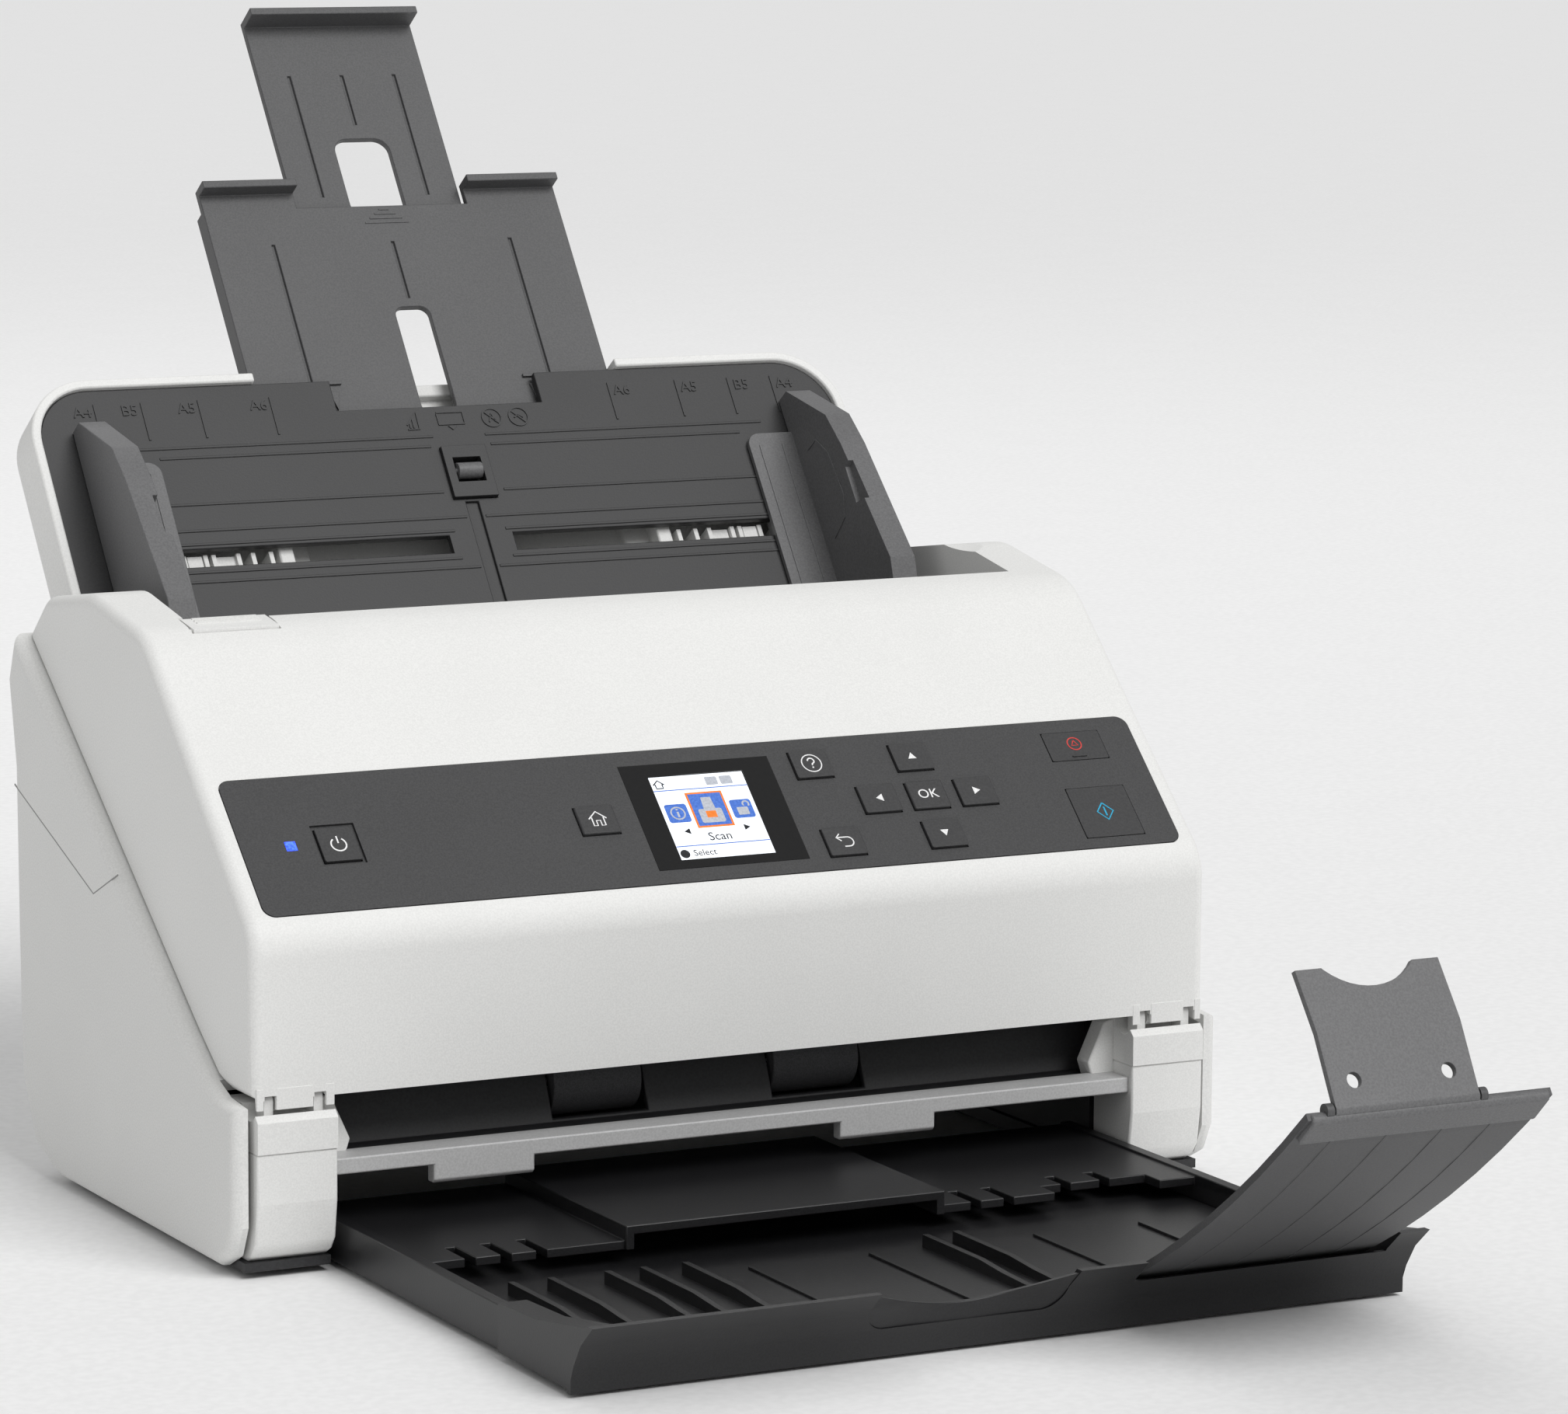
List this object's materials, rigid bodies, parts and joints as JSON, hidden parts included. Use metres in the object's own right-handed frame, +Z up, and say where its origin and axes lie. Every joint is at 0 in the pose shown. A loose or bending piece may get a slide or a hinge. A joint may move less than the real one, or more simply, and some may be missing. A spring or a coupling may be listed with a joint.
{
  "type": "sheet fed document scanner",
  "caption": "Desktop document scanner with a sloping paper tray and extensions, edge guides, control panel and pull-out output tray with a stopper.",
  "frame": {"origin": "on the surface it stands on, below the middle of the whole width and depth with both trays open", "axes": "+X to the operator's right, +Y from the front to the back, +Z up"},
  "size_m": [0.295, 0.5038, 0.315],
  "materials": {
    "shell_white": "fine moulded texture",
    "shell_white_side": "fine moulded texture",
    "panel_charcoal": "moulded texture",
    "key_charcoal": "satin",
    "tray_charcoal": "moulded texture",
    "guide_grey": "moulded texture",
    "extension_grey": "moulded texture",
    "output_black": "moulded texture",
    "stopper_grey": "moulded texture",
    "bar_grey": "moulded texture",
    "bezel_black": "polished",
    "display": "lit display",
    "indicator_blue": "lit",
    "sensor_glass": "polished",
    "roller_rubber": "matt",
    "foot_rubber": "matt",
    "shaft_steel": "turned",
    "screw_steel": "zinc plated",
    "motor_steel": "plated",
    "socket_metal": "tinned",
    "board_green": "solder mask",
    "frame_black": "moulded",
    "belt_rubber": "matt"
  },
  "bodies": {
    "base": {"base_frame": "frame_black", "left_side_cover": "shell_white_side", "right_side_cover": "shell_white_side", "rear_cover": "shell_white_side", "lower_path_plate": "frame_black", "lower_image_sensor": "frame_black", "lower_sensor_glass": "sensor_glass", "feed_motor": "motor_steel", "drive_belt": "belt_rubber", "main_board": "board_green", "usb_port": "socket_metal", "dc_inlet": "frame_black", "left_pillar": "shell_white", "right_pillar": "shell_white", "left_hinge_cap": "shell_white", "right_hinge_cap": "shell_white", "exit_guide_bar": "bar_grey", "exit_panel": "frame_black", "rubber_feet": "foot_rubber", "case_screws": "screw_steel", "input_tray_shell": "shell_white", "input_tray_plate": "tray_charcoal", "detector_housing": "tray_charcoal"},
    "cover": {"front_cover": "shell_white", "control_panel": "panel_charcoal", "lcd_bezel": "bezel_black", "lcd_screen": "display", "status_led": "indicator_blue", "upper_path_plate": "frame_black", "upper_image_sensor": "frame_black", "upper_sensor_glass": "sensor_glass"},
    "lever": {"release_lever": "shell_white"},
    "separator": {"separation_roller": "roller_rubber"},
    "extension": {"tray_extension": "extension_grey"},
    "sub_extension": {"tray_sub_extension": "extension_grey"},
    "left_guide": {"left_edge_guide": "guide_grey"},
    "right_guide": {"right_edge_guide": "guide_grey"},
    "detector": {"detector_roller": "guide_grey"},
    "feed_roller": {"feed_roller_shaft": "shaft_steel", "feed_roller_tyres": "roller_rubber"},
    "transport_roller": {"transport_shaft": "shaft_steel", "transport_tyres": "roller_rubber"},
    "exit_roller": {"exit_shaft": "shaft_steel", "exit_tyres": "roller_rubber"},
    "motor_rotor": {"motor_pulley": "shaft_steel"},
    "tray_stage_one": {"output_tray": "output_black"},
    "tray_stage_two": {"output_tray_extension": "output_black"},
    "paper_stopper": {"stopper": "stopper_grey"},
    "small_stopper": {"sub_stopper": "guide_grey"},
    "power": {"power_key": "key_charcoal"},
    "home": {"home_key": "key_charcoal"},
    "help": {"help_key": "key_charcoal"},
    "back": {"back_key": "key_charcoal"},
    "up": {"up_key": "key_charcoal"},
    "left": {"left_key": "key_charcoal"},
    "ok": {"ok_key": "key_charcoal"},
    "right": {"right_key": "key_charcoal"},
    "down": {"down_key": "key_charcoal"},
    "stop": {"stop_key": "key_charcoal"},
    "start": {"start_key": "key_charcoal"}
  },
  "joints": [
    {"name": "cover_hinge", "type": "hinge", "parent": "base", "child": "cover", "pos_m": [0, -0.02663, 0.0463], "axis": [1, 0, 0], "range_deg": [0, 60]},
    {"name": "lever_hinge", "type": "hinge", "parent": "cover", "child": "lever", "pos_m": [-0.11475, 0.04667, 0.15814], "axis": [1, 0, 0], "range_deg": [0, 30]},
    {"name": "separation_spin", "type": "hinge", "parent": "cover", "child": "separator", "pos_m": [0, 0.06874, 0.11325], "axis": [1, 0, 0], "continuous": true},
    {"name": "extension_slide", "type": "slide", "parent": "base", "child": "extension", "axis": [0, -0.5906, -0.807], "range_m": [0, 0.052]},
    {"name": "sub_extension_slide", "type": "slide", "parent": "extension", "child": "sub_extension", "axis": [0, -0.5906, -0.807], "range_m": [0, 0.054]},
    {"name": "left_guide_slide", "type": "slide", "parent": "base", "child": "left_guide", "axis": [1, 0, 0], "range_m": [0, 0.078]},
    {"name": "right_guide_slide", "type": "slide", "parent": "base", "child": "right_guide", "axis": [-1, 0, 0], "range_m": [0, 0.078]},
    {"name": "detector_spin", "type": "hinge", "parent": "base", "child": "detector", "pos_m": [0.0014, 0.1504, 0.18515], "axis": [1, 0, 0], "continuous": true},
    {"name": "feed_spin", "type": "hinge", "parent": "base", "child": "feed_roller", "pos_m": [0, 0.07998, 0.09862], "axis": [1, 0, 0], "continuous": true},
    {"name": "transport_spin", "type": "hinge", "parent": "base", "child": "transport_roller", "pos_m": [0, 0.04983, 0.07548], "axis": [1, 0, 0], "continuous": true},
    {"name": "exit_spin", "type": "hinge", "parent": "base", "child": "exit_roller", "pos_m": [0, 0.00064, 0.03774], "axis": [1, 0, 0], "continuous": true},
    {"name": "motor_spin", "type": "hinge", "parent": "base", "child": "motor_rotor", "pos_m": [0.1, 0.0777, 0.06051], "axis": [1, 0, 0], "continuous": true},
    {"name": "output_tray_slide", "type": "slide", "parent": "base", "child": "tray_stage_one", "axis": [0, 1, 0], "range_m": [0, 0.1085]},
    {"name": "output_extension_slide", "type": "slide", "parent": "tray_stage_one", "child": "tray_stage_two", "axis": [0, 1, 0], "range_m": [0, 0.0395]},
    {"name": "stopper_hinge", "type": "hinge", "parent": "tray_stage_two", "child": "paper_stopper", "pos_m": [0.0725, -0.15793, 0.0086], "axis": [-1, 0, 0], "range_deg": [0, 141.5]},
    {"name": "sub_stopper_hinge", "type": "hinge", "parent": "paper_stopper", "child": "small_stopper", "pos_m": [0.0655, -0.24995, 0.07067], "axis": [-1, 0, 0], "range_deg": [0, 94]},
    {"name": "power_press", "type": "slide", "parent": "cover", "child": "power", "axis": [0, 0.6794, -0.7337], "range_m": [0, 0.0006], "stiffness_N_per_m": 400, "springref_m": -0.0005},
    {"name": "home_press", "type": "slide", "parent": "cover", "child": "home", "axis": [0, 0.6794, -0.7337], "range_m": [0, 0.0006], "stiffness_N_per_m": 400, "springref_m": -0.0005},
    {"name": "help_press", "type": "slide", "parent": "cover", "child": "help", "axis": [0, 0.6794, -0.7337], "range_m": [0, 0.0006], "stiffness_N_per_m": 400, "springref_m": -0.0005},
    {"name": "back_press", "type": "slide", "parent": "cover", "child": "back", "axis": [0, 0.6794, -0.7337], "range_m": [0, 0.0006], "stiffness_N_per_m": 400, "springref_m": -0.0005},
    {"name": "up_press", "type": "slide", "parent": "cover", "child": "up", "axis": [0, 0.6794, -0.7337], "range_m": [0, 0.0006], "stiffness_N_per_m": 400, "springref_m": -0.0005},
    {"name": "left_press", "type": "slide", "parent": "cover", "child": "left", "axis": [0, 0.6794, -0.7337], "range_m": [0, 0.0006], "stiffness_N_per_m": 400, "springref_m": -0.0005},
    {"name": "ok_press", "type": "slide", "parent": "cover", "child": "ok", "axis": [0, 0.6794, -0.7337], "range_m": [0, 0.0006], "stiffness_N_per_m": 400, "springref_m": -0.0005},
    {"name": "right_press", "type": "slide", "parent": "cover", "child": "right", "axis": [0, 0.6794, -0.7337], "range_m": [0, 0.0006], "stiffness_N_per_m": 400, "springref_m": -0.0005},
    {"name": "down_press", "type": "slide", "parent": "cover", "child": "down", "axis": [0, 0.6794, -0.7337], "range_m": [0, 0.0006], "stiffness_N_per_m": 400, "springref_m": -0.0005},
    {"name": "stop_press", "type": "slide", "parent": "cover", "child": "stop", "axis": [0, 0.6794, -0.7337], "range_m": [0, 0.0006], "stiffness_N_per_m": 400, "springref_m": -0.0005},
    {"name": "start_press", "type": "slide", "parent": "cover", "child": "start", "axis": [0, 0.6794, -0.7337], "range_m": [0, 0.0006], "stiffness_N_per_m": 400, "springref_m": -0.0005}
  ],
  "couplings": [
    {"joint": "right_guide_slide", "follows": "left_guide_slide", "ratio": 1},
    {"joint": "feed_spin", "follows": "motor_spin", "ratio": 1},
    {"joint": "transport_spin", "follows": "motor_spin", "ratio": 1},
    {"joint": "exit_spin", "follows": "motor_spin", "ratio": 1},
    {"joint": "sub_stopper_hinge", "follows": "stopper_hinge", "ratio": 0.6643}
  ]
}
